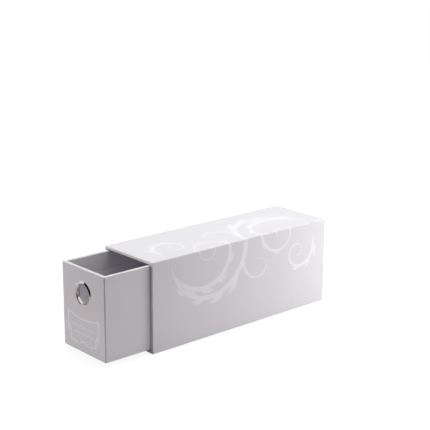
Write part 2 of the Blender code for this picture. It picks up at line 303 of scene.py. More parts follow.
lining_finish = Finish("grey_lining_paper", Specular_IOR_Level=0.35)
mottle = lining_finish.noise(1300.0, 4.0, 0.7)
hairs = lining_finish.noise(700.0, 2.0, 0.5, lining_finish.stretched((1.0, 0.22, 2.6)))
hair_mask = lining_finish.ramp(hairs, [(0.60, 0.0), (0.70, 1.0)])
lining_tone = (mottle * 0.7 + hair_mask * 0.35).smaller(1.0)
lining_finish.set("Base Color", lining_finish.mix(lining_tone, LINING_LIGHT, LINING_DARK))
lining_finish.set("Roughness", 0.70 + mottle * 0.12)
lining_finish.relief((lining_finish.noise(40.0, 2.0), 0.00025), (mottle, 0.00002))
print("made", lining_finish.material.name)

# %% [markdown]
# Greyboard is pressed from waste paper, so it is grey-brown with light and dark flecks. Gummed kraft tape
# is brown, with fibres that run along the strip. Both are covered on a finished box, but the model can be
# taken apart, and then they show.

# %% Greyboard and kraft tape
BOARD_GREY = (0.560, 0.545, 0.520, 1.0)
BOARD_DARK = (0.390, 0.375, 0.350, 1.0)
BOARD_FLECK = (0.720, 0.700, 0.665, 1.0)
KRAFT_LIGHT = (0.640, 0.500, 0.345, 1.0)
KRAFT_DARK = (0.480, 0.350, 0.225, 1.0)

board_finish = Finish("greyboard", Specular_IOR_Level=0.25)
pulp = board_finish.noise(260.0, 6.0, 0.7)
flecks = board_finish.ramp(board_finish.noise(1500.0, 3.0, 0.6), [(0.60, 0.0), (0.68, 1.0)])
specks = board_finish.ramp(board_finish.noise(1100.0, 2.0, 0.5), [(0.64, 0.0), (0.70, 1.0)])
board_colour = board_finish.mix(pulp, BOARD_DARK, BOARD_GREY)
board_colour = board_finish.mix(flecks * 0.8, board_colour, BOARD_FLECK)
board_finish.set("Base Color", board_finish.mix(specks * 0.6, board_colour, BOARD_DARK))
board_finish.set("Roughness", 0.84 + pulp * 0.12)
board_finish.relief((pulp, 0.00008), (flecks, 0.00001))

kraft_finish = Finish("kraft_stay_paper", Specular_IOR_Level=0.35)
strands = kraft_finish.noise(900.0, 4.0, 0.65, kraft_finish.stretched((1.0, 0.15, 1.0)))
kraft_finish.set("Base Color", kraft_finish.mix(strands, KRAFT_LIGHT, KRAFT_DARK))
kraft_finish.set("Roughness", 0.74 + strands * 0.16)
kraft_finish.relief((strands, 0.00002))
print("made", board_finish.material.name, "and", kraft_finish.material.name)

# %% [markdown]
# Spot gloss varnish is a clear film printed over the matt laminate. It shows as strokes that are much shinier
# than the paper round them, and a little lighter; that lightness is painted sheen, set in the film's base
# colour. A screen-printed film has a faint orange peel, which breaks up its reflections. The label's lines
# are a white print, which covers the paper's tone a little better than the varnish.

# %% Spot gloss varnish and the label's print
LABEL_WHITE = (0.985, 0.975, 0.980, 1.0)
LABEL_THIN = (0.965, 0.955, 0.960, 1.0)
# Base colours of the clear varnish, lighter than the paper under it: painted sheen
GLOSS_PAINTED_SHEEN_WHITE = (0.920, 0.908, 0.922, 1.0)
GLOSS_PAINTED_SHEEN_DEEP = (0.910, 0.898, 0.912, 1.0)

gloss_finish = Finish("spot_gloss_varnish", Specular_IOR_Level=0.3, Coat_Roughness=0.12, Coat_IOR=1.8)
peel = gloss_finish.noise(500.0, 2.0)
# Painted sheen in the varnish's base colour, varied at random
gloss_finish.set("Base Color", gloss_finish.mix(gloss_finish.noise(90.0, 3.0), GLOSS_PAINTED_SHEEN_WHITE, GLOSS_PAINTED_SHEEN_DEEP))
gloss_finish.set("Roughness", 0.30 + peel * 0.06)
gloss_finish.set("Coat Weight", 0.25 + peel * 0.03)
gloss_finish.relief((peel, 0.000002))
print("made", gloss_finish.material.name)

label_finish = Finish("white_label_print", Specular_IOR_Level=0.3)
print_grain = label_finish.noise(900.0, 3.0)
label_finish.set("Base Color", label_finish.mix(print_grain, LABEL_WHITE, LABEL_THIN))
label_finish.set("Roughness", 0.35 + print_grain * 0.1)
label_finish.relief((print_grain, 0.000002))
print("made", label_finish.material.name)

# %% [markdown]
# The finger ring is pressed from thin steel and plated with nickel, which is warmer than chrome. Polishing
# on a spindle leaves hairlines that run round the ring, so the noise is read by the distance from the
# ring's axis.

# %% Nickel plate
NICKEL_LIGHT = (0.780, 0.710, 0.660, 1.0)
NICKEL_DARK = (0.700, 0.635, 0.585, 1.0)

ring_centre = Vector((0.0, drawer_low.y, (ring_low.z + ring_high.z) / 2))

nickel_finish = Finish("nickel_plate", Metallic=1.0)
centred = nickel_finish.node(
    "ShaderNodeMapping", None, {"Vector": nickel_finish.place, "Location": -ring_centre}
)
from_axis = nickel_finish.node(
    "ShaderNodeVectorMath", {"operation": "MULTIPLY"}, {0: centred, 1: (1.0, 0.0, 1.0)}
)
reach = nickel_finish.node("ShaderNodeVectorMath", {"operation": "LENGTH"}, {0: from_axis}, "Value")
hairlines = nickel_finish.node(
    "ShaderNodeTexNoise", {"noise_dimensions": "1D"}, {"W": reach, "Scale": 9000.0, "Detail": 3.0}
)
tarnish = nickel_finish.noise(260.0, 4.0, 0.6)
nickel_finish.set("Base Color", nickel_finish.mix(tarnish, NICKEL_LIGHT, NICKEL_DARK))
nickel_finish.set("Roughness", 0.08 + tarnish * 0.08 + hairlines * 0.05)
nickel_finish.relief((hairlines, 0.000002))
print("made", nickel_finish.material.name)

# %% [markdown]
# Pieces are finished in one way: the modifiers are applied, the mesh gets its material and smooth shading,
# and the piece rides on its body. The object itself stays at the origin, unturned, with its place in its
# mesh.

# %% Finish a piece
SHARP_ANGLE = math.radians(34)


def new_object(name, mesh):
    """Put a mesh in the scene."""
    thing = bpy.data.objects.new(name, mesh)
    bpy.context.scene.collection.objects.link(thing)
    return thing


def apply_modifiers(thing):
    """Replace an object's mesh by the evaluated one, and drop its modifiers."""
    bpy.context.view_layer.update()
    evaluated = thing.evaluated_get(bpy.context.evaluated_depsgraph_get())
    plain = bpy.data.meshes.new_from_object(evaluated)
    thing.modifiers.clear()
    thing.data = plain
    plain.name = thing.name


def finish_piece(thing, body, finish, stands_for=()):
    """Apply, paint and carry a piece on its body."""
    apply_modifiers(thing)
    thing.data.materials.clear()
    thing.data.materials.append(finish.material)
    thing.data.shade_smooth()
    thing.data.set_sharp_from_angle(angle=SHARP_ANGLE)
    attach(thing, body)
    if stands_for:
        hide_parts(*stands_for)
    print(f"{thing.name}: {len(thing.data.polygons)} faces on {body}")


# %% [markdown]
# A rigid box is wrapped with one sheet: it goes round the four sides, laps over its own start, and is
# turned in over the rim. That makes every row of the shell a rounded rectangle, and the section says how
# far each row is pulled in and where it lies. Short extra spans beside each bend keep the flat sides truly
# flat when the shading is smooth. In each corner of a turned-in flap the paper is mitred, which leaves a
# fine groove.

# %% Rows of a wrapped sheet
CORNER_STEPS = 8
FOLD_STEPS = 6
SPAN = 0.00025
MITRE_DEPTH = 0.00010
LAP_FROM_CORNER = 0.0120
LAP_STEP = 0.00012
LAP_RUN = 0.0200
LAP_EDGE = 0.00004


def wrapped_row(half_a, half_b, radius, mitre, lap_side):
    """One rounded rectangle, anticlockwise, with spans beside its arcs, mitre marks and the lap."""
    points = []
    for quarter in range(4):
        sign_a = 1 if quarter in (0, 3) else -1
        sign_b = 1 if quarter in (0, 1) else -1
        centre = Vector((sign_a * (half_a - radius), sign_b * (half_b - radius)))
        start = math.radians(90) * quarter
        along = Vector((-math.sin(start), math.cos(start)))
        after = Vector((-math.cos(start), -math.sin(start)))
        points.append((centre + Vector((math.cos(start), math.sin(start))) * radius - along * SPAN, 0.0))
        for step in range(CORNER_STEPS + 1):
            share = step / CORNER_STEPS
            angle = start + math.radians(90) * share
            reach = radius + (mitre if 2 * step == CORNER_STEPS else 0.0)
            point = centre + Vector((math.cos(angle), math.sin(angle))) * reach
            points.append((point, math.sin(math.pi * share)))
        points.append((centre + along * radius + after * SPAN, 0.0))
        if quarter == lap_side:
            across = Vector((-along.y, along.x))
            edge = Vector((sign_a * half_a, sign_b * half_b)) + after * LAP_FROM_CORNER
            points.append((edge, 0.0))
            points.append((edge + after * LAP_EDGE + across * LAP_STEP, 0.0))
            points.append((edge + after * LAP_RUN, 0.0))
    return points


example_row = wrapped_row(sleeve_high.x, sleeve_high.z / 2, SLEEVE_CORNER, 0.0, 2)
print("points in a row:", len(example_row))

# %% [markdown]
# The section runs from the turned-over end, up the outside, over the rim and down the inside. Each bend is
# a quarter circle of the fold's radius. How strongly a row is bent goes to the `fold` attribute. Rows that
# are pulled in belong to a flap, whose corners are mitred.

# %% Section of a wrapped sheet
def bend_rows(centre, start_degrees):
    """A quarter circle of the section, turning clockwise, with how strongly each row is bent."""
    rows = []
    for step in range(FOLD_STEPS + 1):
        share = step / FOLD_STEPS
        angle = math.radians(start_degrees - 90 * share)
        inset = centre[0] + FOLD * math.cos(angle)
        height = centre[1] + FOLD * math.sin(angle)
        rows.append((inset, height, math.sin(math.pi * share)))
    return rows


def wrap_section(start, rim, wall, turn_over, turn_in):
    """Rows of (inset, height, bend) of a cover sheet, with a short span beside each bend."""
    rows = [(turn_over, start, 0.0), (FOLD + SPAN, start, 0.0)]
    rows += bend_rows((FOLD, start + FOLD), 270)
    rows += [(0.0, start + FOLD + SPAN, 0.0), (0.0, rim - FOLD - SPAN, 0.0)]
    rows += bend_rows((FOLD, rim - FOLD), 180)
    rows += bend_rows((wall - FOLD, rim - FOLD), 90)
    rows += [(wall, rim - FOLD - SPAN, 0.0), (wall, rim - turn_in, 0.0)]
    return rows


def wrapped_sheet(name, half_a, half_b, corner, section, lap_side, place):
    """A cover sheet as a closed shell of paper, its rows set in the world by a matrix."""
    points = []
    folds = []
    faces = []
    for inset, height, bend in section:
        radius = max(corner - inset, INNER_CORNER)
        mitre = MITRE_DEPTH if inset > FOLD + SPAN / 2 else 0.0
        row = wrapped_row(half_a - inset, half_b - inset, radius, mitre, lap_side)
        points += [place @ Vector((a, b, height)) for (a, b), corner_bend in row]
        folds += [max(bend, corner_bend if inset < FOLD else 0.0) for point, corner_bend in row]
    count = len(row)
    for line in range(len(section) - 1):
        for index in range(count):
            first = line * count + index
            second = line * count + (index + 1) % count
            faces.append((first, second, second + count, first + count))
    mesh = bpy.data.meshes.new(name)
    mesh.from_pydata(points, [], faces)
    mesh.attributes.new("fold", "FLOAT", "POINT").data.foreach_set("value", folds)
    sheet = new_object(name, mesh)
    solid = sheet.modifiers.new("paper", "SOLIDIFY")
    solid.thickness = PAPER - FILM
    solid.offset = -1
    solid.use_even_offset = True
    return sheet


print("sheet builder ready")

# %% [markdown]
# The sleeve lies on its side, so its rows run from the back to the mouth. Its sheet is turned over the back
# edge onto the back board, where a separate sheet covers the raw ends, and turned in at the mouth for two
# centimetres. The lap lies on the underside, near the left edge.

# %% Sleeve cover
LAP_BELOW = 2
LAP_BEHIND = 0

sleeve_half = sleeve_high.x - FILM
sleeve_rise = sleeve_high.z / 2 - FILM
sleeve_middle = (sleeve_low.z + sleeve_high.z) / 2
sleeve_turn = Matrix.Translation((0.0, 0.0, sleeve_middle)) @ Matrix.Rotation(math.radians(90), 4, "X")
sleeve_section = wrap_section(
    -(sleeve_high.y - FILM),
    -(sleeve_low.y + FILM),
    sleeve_wall - FILM,
    SLEEVE_TURN_OVER,
    SLEEVE_TURN_IN,
)
sleeve_cover = wrapped_sheet(
    "sleeve_cover", sleeve_half, sleeve_rise, SLEEVE_CORNER, sleeve_section, LAP_BELOW, sleeve_turn
)
finish_piece(sleeve_cover, "sleeve", cover_finish, ["sleeve_wrap"])

# %% [markdown]
# The drawer's sheet goes round its four walls, under the bottom edge and in over the rim. The hole for the
# finger ring is bored through it with a boolean cut, as the punch does through board and papers together.

# %% Drawer cover
HOLE_STEPS = 96
HOLE_RADIUS = 0.01215
CUT_OVERRUN = 0.002

drawer_half = drawer_high.x - FILM
drawer_run = (drawer_high.y - drawer_low.y) / 2 - FILM
drawer_middle = (drawer_high.y + drawer_low.y) / 2
drawer_section = wrap_section(
    drawer_low.z + FILM,
    drawer_high.z - FILM,
    drawer_wall - FILM,
    DRAWER_TURN_UNDER,
    DRAWER_TURN_IN,
)
drawer_cover = wrapped_sheet(
    "drawer_cover",
    drawer_half,
    drawer_run,
    DRAWER_CORNER,
    drawer_section,
    LAP_BEHIND,
    Matrix.Translation((0.0, drawer_middle, 0.0)),
)
bpy.ops.mesh.primitive_cylinder_add(
    vertices=HOLE_STEPS,
    radius=HOLE_RADIUS,
    depth=drawer_wall + 2 * CUT_OVERRUN,
    location=ring_centre + Vector((0.0, drawer_wall / 2, 0.0)),
    rotation=(math.radians(90), 0.0, 0.0),
)
punch = bpy.context.object
bore = drawer_cover.modifiers.new("finger_hole", "BOOLEAN")
bore.operation = "DIFFERENCE"
bore.object = punch
finish_piece(drawer_cover, "drawer", cover_finish, ["drawer_wrap"])
bpy.data.objects.remove(punch)

# %% [markdown]
# The finger ring is an eyelet: a raised lip on the outside and a short neck that is glued into the punched
# hole. All of it is turned round one axis, so a profile with a Screw modifier makes it. The lip is highest
# near the hole and slopes down until its edge touches the paper. Past the neck, one sees the raw edge of
# the punched board.

# %% Finger ring
RING_STEPS = 128
BEND_STEPS = 12
SLOPE_STEPS = 6
RING_SHEET = 0.00040
LIP_WIDTH = 0.00325
RING_MERGE = 0.000001


def turned_piece(name, profile):
    """Turn a profile of (radius, height out of the drawer's front) round the ring's axis."""
    edges = [(index, index + 1) for index in range(len(profile) - 1)]
    mesh = bpy.data.meshes.new(name)
    mesh.from_pydata([(radius, 0.0, height) for radius, height in profile], edges, [])
    thing = new_object(name, mesh)
    screw = thing.modifiers.new("turn", "SCREW")
    screw.steps = RING_STEPS
    screw.render_steps = RING_STEPS
    screw.use_merge_vertices = True
    screw.merge_threshold = RING_MERGE
    return thing


def stand_up(thing):
    """Turn an applied ring so that it faces out of the drawer's front, in its mesh."""
    thing.data.transform(Matrix.Translation(ring_centre) @ Matrix.Rotation(math.radians(90), 4, "X"))


ring_radius = (ring_high.x - ring_low.x) / 2
barrel_radius = ring_radius - LIP_WIDTH
dome_height = drawer_low.y - ring_low.y
neck_end = ring_centre.y - ring_high.y
crest_round = dome_height - FILM
crest_radius = barrel_radius + crest_round
slope = math.asin(crest_round / (ring_radius - crest_radius))

ring_profile = []
slope_top = crest_round * math.cos(slope)
for step in range(SLOPE_STEPS):
    height = slope_top * step / SLOPE_STEPS
    ring_profile.append((ring_radius - height / math.tan(slope), FILM + height))
for step in range(BEND_STEPS + 1):
    angle = math.pi / 2 - slope + (math.pi / 2 + slope) * step / BEND_STEPS
    ring_profile.append((crest_radius + crest_round * math.cos(angle), FILM + crest_round * math.sin(angle)))
ring_profile.append((barrel_radius, neck_end))

eyelet = turned_piece("finger_ring", ring_profile)
sheet_steel = eyelet.modifiers.new("sheet", "SOLIDIFY")
sheet_steel.thickness = RING_SHEET
sheet_steel.offset = 1
sheet_steel.use_even_offset = True
apply_modifiers(eyelet)
stand_up(eyelet)
finish_piece(eyelet, "drawer", nickel_finish, ["finger_ring_eyelet"])

# %% [markdown]
# The printed ornament is drawn flat first, on the cover as it lies unrolled: `u` runs back from the mouth,
# and `v` runs across the top from its left edge and then down the right side. Geometry Nodes turn each
# centre line into a ribbon of varnish. The line carries its half width at every point, so a stroke can
# swell and taper.

# %% Geometry Nodes for varnish strokes
STROKE_MERGE = 0.000002


def stroke_tree():
    """A tree that turns centre lines with a half width into closed, flat ribbons of varnish."""
    tree = bpy.data.node_groups.new("varnish_strokes", "GeometryNodeTree")
    tree.interface.new_socket("Centre lines", in_out="INPUT", socket_type="NodeSocketGeometry")
    depth = tree.interface.new_socket("Film thickness", in_out="INPUT", socket_type="NodeSocketFloat")
    paint = tree.interface.new_socket("Varnish", in_out="INPUT", socket_type="NodeSocketMaterial")
    tree.interface.new_socket("Strokes", in_out="OUTPUT", socket_type="NodeSocketGeometry")
    inputs = tree.nodes.new("NodeGroupInput")
    outputs = tree.nodes.new("NodeGroupOutput")
    width = add_node(tree, "GeometryNodeInputNamedAttribute", {"data_type": "FLOAT"}, {"Name": "half_width"})
    lines = Wire(tree, inputs.outputs["Centre lines"])
    lines = add_node(tree, "GeometryNodeMeshToCurve", None, {"Mesh": lines})
    lines = add_node(tree, "GeometryNodeSetCurveNormal", {"mode": "Z_UP"}, {"Curve": lines})
    across = add_node(
        tree, "GeometryNodeCurvePrimitiveLine", None, {"Start": (-1.0, 0.0, 0.0), "End": (1.0, 0.0, 0.0)}
    )
    flat = add_node(
        tree, "GeometryNodeCurveToMesh", None, {"Curve": lines, "Profile Curve": across, "Scale": width}
    )
    lift = add_node(tree, "ShaderNodeCombineXYZ", None, {"Z": 1.0})
    raised = add_node(
        tree,
        "GeometryNodeExtrudeMesh",
        {"mode": "FACES"},
        {
            "Mesh": flat,
            "Offset": lift,
            "Offset Scale": Wire(tree, inputs.outputs["Film thickness"]),
            "Individual": False,
        },
    )
    under = add_node(tree, "GeometryNodeFlipFaces", None, {"Mesh": flat})
    join = tree.nodes.new("GeometryNodeJoinGeometry")
    tree.links.new(raised.socket, join.inputs[0])
    tree.links.new(under.socket, join.inputs[0])
    closed = add_node(
        tree,
        "GeometryNodeMergeByDistance",
        None,
        {"Geometry": Wire(tree, join.outputs[0]), "Distance": STROKE_MERGE},
    )
    real = add_node(tree, "GeometryNodeRealizeInstances", None, {"Geometry": closed})
    painted = add_node(
        tree,
        "GeometryNodeSetMaterial",
        None,
        {"Geometry": real, "Material": Wire(tree, inputs.outputs["Varnish"])},
    )
    tree.links.new(painted.socket, outputs.inputs[0])
    return tree, depth.identifier, paint.identifier


varnish_tree, film_input, varnish_input = stroke_tree()


def varnish_strokes(name, strokes, thickness):
    """Ribbons for strokes, each a list of points, a list of half widths, and whether it is a closed loop."""
    points = []
    edges = []
    widths = []
    for path, halves, closed in strokes:
        first = len(points)
        points += [(u, v, 0.0) for u, v in path]
        widths += halves
        edges += [(first + index, first + index + 1) for index in range(len(path) - 1)]
        if closed:
            edges.append((len(points) - 1, first))
    mesh = bpy.data.meshes.new(name)
    mesh.from_pydata(points, edges, [])
    mesh.attributes.new("half_width", "FLOAT", "POINT").data.foreach_set("value", widths)
    thing = new_object(name, mesh)
    nodes = thing.modifiers.new("varnish", "NODES")
    nodes.node_group = varnish_tree
    nodes[film_input] = thickness
    nodes[varnish_input] = gloss_finish.material
    apply_modifiers(thing)
    return thing


print("varnish tree has", len(varnish_tree.nodes), "nodes")

# %% [markdown]
# The ornament is a double scroll, a pattern as old as carved stone: an S-shaped stem with a curl in each of
# its bends, a small counter-curl at each end and pointed leaves along the way. It has no left or right:
# turned by half a turn about its middle it is the same, so only one half is written down. A curl's radius
# shrinks by the same share at each step, as a fern's does.

# %% Paths of the scroll
STROKE_STEP = 0.0012
LEAST_HALF_WIDTH = 0.00030
TAPER_POWER = 0.7
LEAF_BELLY = 0.70
LEAF_LEAN = math.radians(34)
LEAF_BEND = math.radians(50)
LEAF_SHRINK = 0.11


def taper(count, widest, grow_share, fade_share, least=LEAST_HALF_WIDTH):
    """Half widths that grow from the start and fade to the end."""
    widths = []
    for index in range(count):
        share = index / (count - 1)
        grow = min(1.0, share / grow_share)
        fade = min(1.0, (1.0 - share) / fade_share)
        widths.append(max(least, widest * (grow * fade) ** TAPER_POWER))
    return widths


def curl(centre, first_radius, last_radius, start_degrees, turn_degrees):
    """A path round a centre whose radius shrinks steadily while it turns."""
    total = abs(math.radians(turn_degrees))
    sign = 1 if turn_degrees > 0 else -1
    shrink = math.log(first_radius / last_radius) / total
    path = []
    done = 0.0
    while done < total:
        radius = first_radius * math.exp(-shrink * done)
        angle = math.radians(start_degrees) + sign * done
        path.append((centre[0] + radius * math.cos(angle), centre[1] + radius * math.sin(angle)))
        done += STROKE_STEP / radius
    return path


def leaf(start, heading, length, width, bend):
    """A pointed leaf along a gently bent path, as a stroke."""
    count = max(8, round(length / STROKE_STEP))
    path = [start]
    for index in range(count):
        heading += bend / count
        u, v = path[-1]
        path.append((u + math.cos(heading) * length / count, v + math.sin(heading) * length / count))
    halves = []
    for index in range(count + 1):
        belly = math.sin(math.pi * (index / count) ** LEAF_BELLY)
        halves.append(max(LEAST_HALF_WIDTH, width / 2 * belly))
    return path, halves, False


def leaves_along(path, shares, side, length, width):
    """Leaves that grow out of a path at some shares of it, each smaller than the one before."""
    grown = []
    for place, share in enumerate(shares):
        index = max(1, int(share * (len(path) - 1)))
        (before_u, before_v), (after_u, after_v) = path[index - 1], path[index + 1]
        heading = math.atan2(after_v - before_v, after_u - before_u) + side * LEAF_LEAN
        size = 1.0 - LEAF_SHRINK * place
        grown.append(leaf(path[index], heading, length * size, width * size, -side * LEAF_BEND))
    return grown


print("leaf of", len(leaf((0.0, 0.0), 0.0, 0.02, 0.006, 1.0)[0]), "points")

# %% Half of the scroll
SCROLL_MIDDLE = (0.138, 0.086)
BEND_RADIUS = 0.056

# A curl has a centre, its first and last radius, and in degrees where it starts and how far it turns
bend_centre = (-BEND_RADIUS, 0.0)
stem = curl(bend_centre, BEND_RADIUS, BEND_RADIUS - 0.0001, 0, 172)
great_curl = curl(bend_centre, BEND_RADIUS - 0.001, 0.006, 158, -590)
small_curl = curl((0.027 - 2 * BEND_RADIUS, -0.030), 0.030, 0.004, 150, 520)
tendril = curl((-0.023, -0.032), 0.033, 0.0045, 44.4, -340)

# A taper has the widest half width, the shares of the path that grow and fade, and the least half width
half_stems = [(stem, taper(len(stem), 0.0032, 0.0001, 0.5, 0.0005), False)]
half_curls = [
    (great_curl, taper(len(great_curl), 0.0029, 0.10, 0.75, 0.0008), False),
    (small_curl, taper(len(small_curl), 0.0022, 0.12, 0.70, 0.0006), False),
    (tendril, taper(len(tendril), 0.0017, 0.20, 0.60, 0.0005), False),
]
# Leaves have their places along the path, their side, and the length and width of the first
half_leaves = leaves_along(stem, (0.25, 0.41, 0.58, 0.75), -1, 0.027, 0.0080)
half_leaves += leaves_along(great_curl, (0.10, 0.20, 0.30, 0.41, 0.53, 0.64), 1, 0.023, 0.0076)
half_leaves += leaves_along(small_curl, (0.10, 0.24, 0.40), -1, 0.017, 0.0056)


def both_halves(strokes):
    """Strokes round the scroll's middle, and the same strokes after half a turn."""
    placed = []
    for sign in (1, -1):
        for path, halves, closed in strokes:
            turned = [(SCROLL_MIDDLE[0] + sign * u, SCROLL_MIDDLE[1] + sign * v) for u, v in path]
            placed.append((turned, halves, closed))
    return placed


stems, curls, leaves = [both_halves(part) for part in (half_stems, half_curls, half_leaves)]
every_stroke = stems + curls + leaves
reach_u = [u for path, halves, closed in every_stroke for u, v in path]
reach_v = [v for path, halves, closed in every_stroke for u, v in path]
print("strokes:", len(every_stroke))
print(f"they reach {min(reach_u):.3f} to {max(reach_u):.3f} m back")
print(f"and {min(reach_v):.3f} to {max(reach_v):.3f} m across")

# %% [markdown]
# Now the flat strokes are bent over the box's edge, as the sheet was when it was wrapped. They are cut
# along the lines where the cover's arc has its own corners, so both bend at the same places and the film
# never dips under the paper. Each kind of stroke has its own film thickness, so crossing strokes never
# share a surface.

# %% Bend the ornament over the top right edge
FILM_SHARES = (1.0, 0.8, 0.6)
ON_THE_LINE = 1e-8

arc_start = 2 * sleeve_half - SLEEVE_CORNER
arc_length = SLEEVE_CORNER * math.pi / 2
sleeve_top = sleeve_high.z - FILM
mouth_front = sleeve_low.y + FILM


def on_sleeve(u, v, lift):
    """Point of the unrolled cover, on the top, the rounded edge or the right side."""
    y = mouth_front + u
    if v <= arc_start:
        return Vector((v - sleeve_half, y, sleeve_top + lift))
    if v >= arc_start + arc_length:
        return Vector((sleeve_half + lift, y, sleeve_top - SLEEVE_CORNER - (v - arc_start - arc_length)))
    angle = (v - arc_start) / SLEEVE_CORNER
    reach = SLEEVE_CORNER + lift
    x = sleeve_half - SLEEVE_CORNER + reach * math.sin(angle)
    return Vector((x, y, sleeve_top - SLEEVE_CORNER + reach * math.cos(angle)))


def bend_over_edge(thing):
    """Cut flat strokes along the arc's corner lines, and lay them on the sleeve."""
    shape = bmesh.new()
    shape.from_mesh(thing.data)
    for step in range(CORNER_STEPS + 1):
        line = arc_start + arc_length * step / CORNER_STEPS
        everything = shape.verts[:] + shape.edges[:] + shape.faces[:]
        bmesh.ops.bisect_plane(
            shape, geom=everything, dist=ON_THE_LINE, plane_co=(0, line, 0), plane_no=(0, 1, 0)
        )
    for corner in shape.verts:
        corner.co = on_sleeve(*corner.co)
    bmesh.ops.recalc_face_normals(shape, faces=shape.faces[:])
    shape.to_mesh(thing.data)
    shape.free()


scroll_names = ("gloss_scroll_stem", "gloss_scroll_curls", "gloss_scroll_leaves")
for name, strokes, share in zip(scroll_names, (stems, curls, leaves), FILM_SHARES):
    ornament = varnish_strokes(name, strokes, FILM * share)
    bend_over_edge(ornament)
    finish_piece(ornament, "sleeve", gloss_finish)

# %% [markdown]
# The writing label on the drawer's front is printed in white. Its frame has a hanging top edge, sides that
# step in beside a small ring, and an arch in the middle of its foot. Each side is a stroke of its own that
# runs past the corner, because a ribbon would be pinched there. Two thin lines are for writing on.

# %% Writing label
LABEL_CENTRE = -0.00165
LABEL_TOP = 0.0478
LABEL_HALF_TOP = 0.02765
LABEL_HALF_FOOT = 0.02265
LABEL_SAG = 0.0046
LABEL_FOOT = 0.01665
ARCH_HALF = 0.0066
ARCH_FOOT = 0.01345
ARCH_RISE = 0.0034
STEP_LOW = 0.0240
STEP_HIGH = 0.0335
STUD_CENTRE = (0.0259, 0.0274)
STUD_RADIUS = 0.0021
STUD_HALF_WIDTH = 0.00062
FRAME_HALF_WIDTH = 0.00080
LINE_HALF_WIDTH = 0.00037
WRITING_LINES = ((0.0224, 0.03395), (0.0193, 0.02595))
LABEL_STEPS = 48


def label_line(start, end, shape, half_width):
    """A stroke of the label whose height is a formula of its place along the front."""
    path = []
    for index in range(LABEL_STEPS + 1):
        across = start + (end - start) * index / LABEL_STEPS
        path.append((LABEL_CENTRE + across, shape(across)))
    return path, [half_width] * len(path), False


def hanging_top(across):
    """Height of the frame's top edge, which hangs like a slack string."""
    return LABEL_TOP - LABEL_SAG * (1.0 - (across / LABEL_HALF_TOP) ** 2)


def arched_foot(across):
    """Height of the frame's foot, with the arch in its middle."""
    if abs(across) < ARCH_HALF:
        return ARCH_FOOT + ARCH_RISE * math.sqrt(1.0 - (across / ARCH_HALF) ** 2)
    slope = (LABEL_FOOT - ARCH_FOOT) / (LABEL_HALF_FOOT - ARCH_HALF)
    return ARCH_FOOT + slope * (abs(across) - ARCH_HALF)


def stepped_side(sign):
    """One side of the frame, from the top to the foot, stepping in smoothly beside the ring."""
    path = []
    for index in range(LABEL_STEPS + 1):
        height = LABEL_TOP + (LABEL_FOOT - LABEL_TOP) * index / LABEL_STEPS
        share = min(1.0, max(0.0, (height - STEP_LOW) / (STEP_HIGH - STEP_LOW)))
        half = LABEL_HALF_FOOT + (LABEL_HALF_TOP - LABEL_HALF_FOOT) * share * share * (3 - 2 * share)
        path.append((LABEL_CENTRE + sign * half, height))
    return path, [FRAME_HALF_WIDTH] * len(path), False


def stud_ring(sign):
    """The small ring beside the frame, as a closed loop."""
    path = []
    for index in range(LABEL_STEPS):
        angle = 2 * math.pi * index / LABEL_STEPS
        across = sign * STUD_CENTRE[0] + STUD_RADIUS * math.cos(angle)
        path.append((LABEL_CENTRE + across, STUD_CENTRE[1] + STUD_RADIUS * math.sin(angle)))
    return path, [STUD_HALF_WIDTH] * len(path), True


top_reach = LABEL_HALF_TOP + FRAME_HALF_WIDTH
foot_reach = LABEL_HALF_FOOT + FRAME_HALF_WIDTH
frame_edges = [
    label_line(-top_reach, top_reach, hanging_top, FRAME_HALF_WIDTH),
    label_line(-foot_reach, -ARCH_HALF, arched_foot, FRAME_HALF_WIDTH),
    label_line(-ARCH_HALF, ARCH_HALF, arched_foot, FRAME_HALF_WIDTH),
    label_line(ARCH_HALF, foot_reach, arched_foot, FRAME_HALF_WIDTH),
]
frame_sides = [stepped_side(-1), stepped_side(1)]
label_marks = [stud_ring(-1), stud_ring(1)]
for half_length, height in WRITING_LINES:
    label_marks.append(label_line(-half_length, half_length, lambda across: height, LINE_HALF_WIDTH))

to_front = Matrix.Translation((0.0, drawer_low.y + FILM, 0.0)) @ Matrix.Rotation(math.radians(90), 4, "X")
label_names = ("gloss_label_edges", "gloss_label_sides", "gloss_label_lines")
for name, strokes, share in zip(label_names, (frame_edges, frame_sides, label_marks), FILM_SHARES):
    print_layer = varnish_strokes(name, strokes, FILM * share)
    print_layer.data.transform(to_front)
    finish_piece(print_layer, "drawer", label_finish)

# %% [markdown]
# The nodes that keep their own shape get a finish too. A word in each one's name says what it is made of, so
# one table is enough.

# %% Dress the remaining nodes
FINISHES = {
    "white_cover_paper": cover_finish,
    "grey_lining_paper": lining_finish,
    "greyboard": board_finish,
    "kraft_stay_paper": kraft_finish,
    "nickel_plate": nickel_finish,
}
FINISH_OF = {
    "board": "greyboard",
    "ply": "greyboard",
    "sheet": "white_cover_paper",
    "lining": "grey_lining_paper",
    "stay": "kraft_stay_paper",
}
dressed = 0
for name, node in frame["nodes"].items():
    for word, finish_name in FINISH_OF.items():
        if word in name and not node.hide_render:
            node.data.materials.clear()
            node.data.materials.append(FINISHES[finish_name].material)
            dressed += 1
            break
print("dressed nodes:", dressed)

# %% [markdown]
# The floor and the world stand for a white sweep. The camera, glossy rays and light through glass see them
# as white, but to every other ray they are a warm mid grey, so they don't flood the box with light from
# below. The floor still takes part of the lamps' light, and keeps a soft shadow.

# %% Floor and world
FLOOR_HALF = 9.0
FLOOR_DROP = 0.0001
FLOOR_FADE_FROM = 0.15
FLOOR_FADE_TO = 0.60
FLOOR_SEEN_GREY = 0.14
FLOOR_GLOW_NEAR = 0.90
FLOOR_GLOW_FAR = 1.0
FLOOR_GLOW_MIRRORED = 0.55
FLOOR_BOUNCE = (0.565, 0.532, 0.550, 1.0)
WORLD_AMBIENT = 0.03


